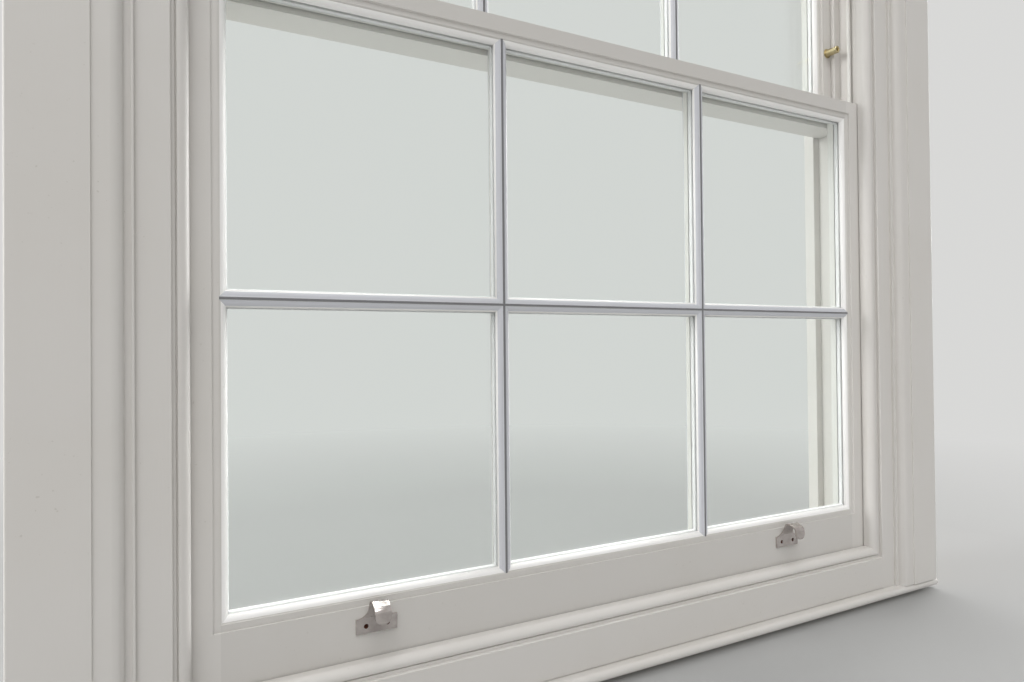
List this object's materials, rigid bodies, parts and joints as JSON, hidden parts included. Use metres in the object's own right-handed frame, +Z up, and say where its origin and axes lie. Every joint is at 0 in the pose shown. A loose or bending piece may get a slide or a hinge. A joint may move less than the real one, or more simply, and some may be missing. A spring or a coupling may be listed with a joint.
{
  "type": "box sash window",
  "caption": "Double-hung box sash window in its frame, small panes with glazing bars, both sashes balanced by cords over pulleys and weights.",
  "frame": {"origin": "on the flat underside of the sill, in the middle of the width, midway between the two sashes", "axes": "+X to the right seen from the room, +Y outdoors, +Z up"},
  "size_m": [1.299, 0.188, 1.6382],
  "materials": {
    "painted_wood": "satin",
    "bare_wood": "matte",
    "glass": "gloss",
    "spacer": "matte",
    "putty": "satin",
    "satin_nickel": "satin",
    "dark_screw": "matte",
    "brass": "satin",
    "steel_pin": "satin",
    "cast_iron": "matte",
    "cord": "matte"
  },
  "bodies": {
    "frame": {"apron": "painted_wood", "back_linings": "bare_wood", "cover_mould_head": "painted_wood", "cover_mould_left": "painted_wood", "cover_mould_right": "painted_wood", "head_board": "painted_wood", "inner_lining_head": "painted_wood", "inner_lining_left": "painted_wood", "inner_lining_right": "painted_wood", "nosing": "painted_wood", "outer_lining_head": "painted_wood", "outer_lining_left": "painted_wood", "outer_lining_right": "painted_wood", "parting_bead_head": "painted_wood", "parting_bead_left": "painted_wood", "parting_bead_right": "painted_wood", "parting_slips": "bare_wood", "pocket_pieces": "painted_wood", "pulley_cases": "brass", "pulley_pins": "steel_pin", "pulley_screws": "brass", "pulley_stile_left": "painted_wood", "pulley_stile_right": "painted_wood", "sash_cords": "cord", "sill": "painted_wood", "staff_bead_head": "painted_wood", "staff_bead_left": "painted_wood", "staff_bead_right": "painted_wood", "staff_bead_sill": "painted_wood"},
    "lower_sash": {"lower_bottom_rail": "painted_wood", "lower_cross_bars": "painted_wood", "lower_glass": "glass", "lower_meeting_rail": "painted_wood", "lower_putty": "putty", "lower_spacers": "spacer", "lower_stile_left": "painted_wood", "lower_stile_right": "painted_wood", "lower_upright_bars": "painted_wood", "hook_lift_left": "satin_nickel", "hook_lift_right": "satin_nickel", "lift_screws": "dark_screw"},
    "upper_sash": {"upper_bars": "painted_wood", "upper_glass": "glass", "upper_meeting_rail": "painted_wood", "upper_putty": "putty", "upper_spacers": "spacer", "upper_stile_left": "painted_wood", "upper_stile_right": "painted_wood", "upper_top_rail": "painted_wood", "stop_receivers": "brass", "stop_studs": "brass"},
    "wheel_lower_left": {"wheel_lower_left": "brass"},
    "wheel_lower_right": {"wheel_lower_right": "brass"},
    "wheel_upper_left": {"wheel_upper_left": "brass"},
    "wheel_upper_right": {"wheel_upper_right": "brass"},
    "weight_lower_left": {"weight_lower_left": "cast_iron"},
    "weight_lower_right": {"weight_lower_right": "cast_iron"},
    "weight_upper_left": {"weight_upper_left": "cast_iron"},
    "weight_upper_right": {"weight_upper_right": "cast_iron"}
  },
  "joints": [
    {"name": "lower_sash_slide", "type": "slide", "parent": "frame", "child": "lower_sash", "axis": [0, 0, 1], "range_m": [0, 0.046]},
    {"name": "upper_sash_slide", "type": "slide", "parent": "frame", "child": "upper_sash", "axis": [0, 0, -1], "range_m": [0, 0.046]},
    {"name": "weight_lower_left_slide", "type": "slide", "parent": "frame", "child": "weight_lower_left", "axis": [0, 0, -1], "range_m": [0, 0.046]},
    {"name": "wheel_lower_left_spin", "type": "hinge", "parent": "frame", "child": "wheel_lower_left", "pos_m": [-0.5405, -0.024, 1.4162], "axis": [0, -1, 0], "range_deg": [0, 105.43]},
    {"name": "weight_lower_right_slide", "type": "slide", "parent": "frame", "child": "weight_lower_right", "axis": [0, 0, -1], "range_m": [0, 0.046]},
    {"name": "wheel_lower_right_spin", "type": "hinge", "parent": "frame", "child": "wheel_lower_right", "pos_m": [0.5405, -0.024, 1.4162], "axis": [0, 1, 0], "range_deg": [0, 105.43]},
    {"name": "weight_upper_left_slide", "type": "slide", "parent": "frame", "child": "weight_upper_left", "axis": [0, 0, 1], "range_m": [0, 0.046]},
    {"name": "wheel_upper_left_spin", "type": "hinge", "parent": "frame", "child": "wheel_upper_left", "pos_m": [-0.5405, 0.024, 1.4162], "axis": [0, 1, 0], "range_deg": [0, 105.43]},
    {"name": "weight_upper_right_slide", "type": "slide", "parent": "frame", "child": "weight_upper_right", "axis": [0, 0, 1], "range_m": [0, 0.046]},
    {"name": "wheel_upper_right_spin", "type": "hinge", "parent": "frame", "child": "wheel_upper_right", "pos_m": [0.5405, 0.024, 1.4162], "axis": [0, -1, 0], "range_deg": [0, 105.43]}
  ],
  "couplings": [
    {"joint": "weight_lower_left_slide", "follows": "lower_sash_slide", "ratio": 1},
    {"joint": "wheel_lower_left_spin", "follows": "lower_sash_slide", "rad_per_m": 40},
    {"joint": "weight_lower_right_slide", "follows": "lower_sash_slide", "ratio": 1},
    {"joint": "wheel_lower_right_spin", "follows": "lower_sash_slide", "rad_per_m": 40},
    {"joint": "weight_upper_left_slide", "follows": "upper_sash_slide", "ratio": 1},
    {"joint": "wheel_upper_left_spin", "follows": "upper_sash_slide", "rad_per_m": 40},
    {"joint": "weight_upper_right_slide", "follows": "upper_sash_slide", "ratio": 1},
    {"joint": "wheel_upper_right_spin", "follows": "upper_sash_slide", "rad_per_m": 40}
  ]
}
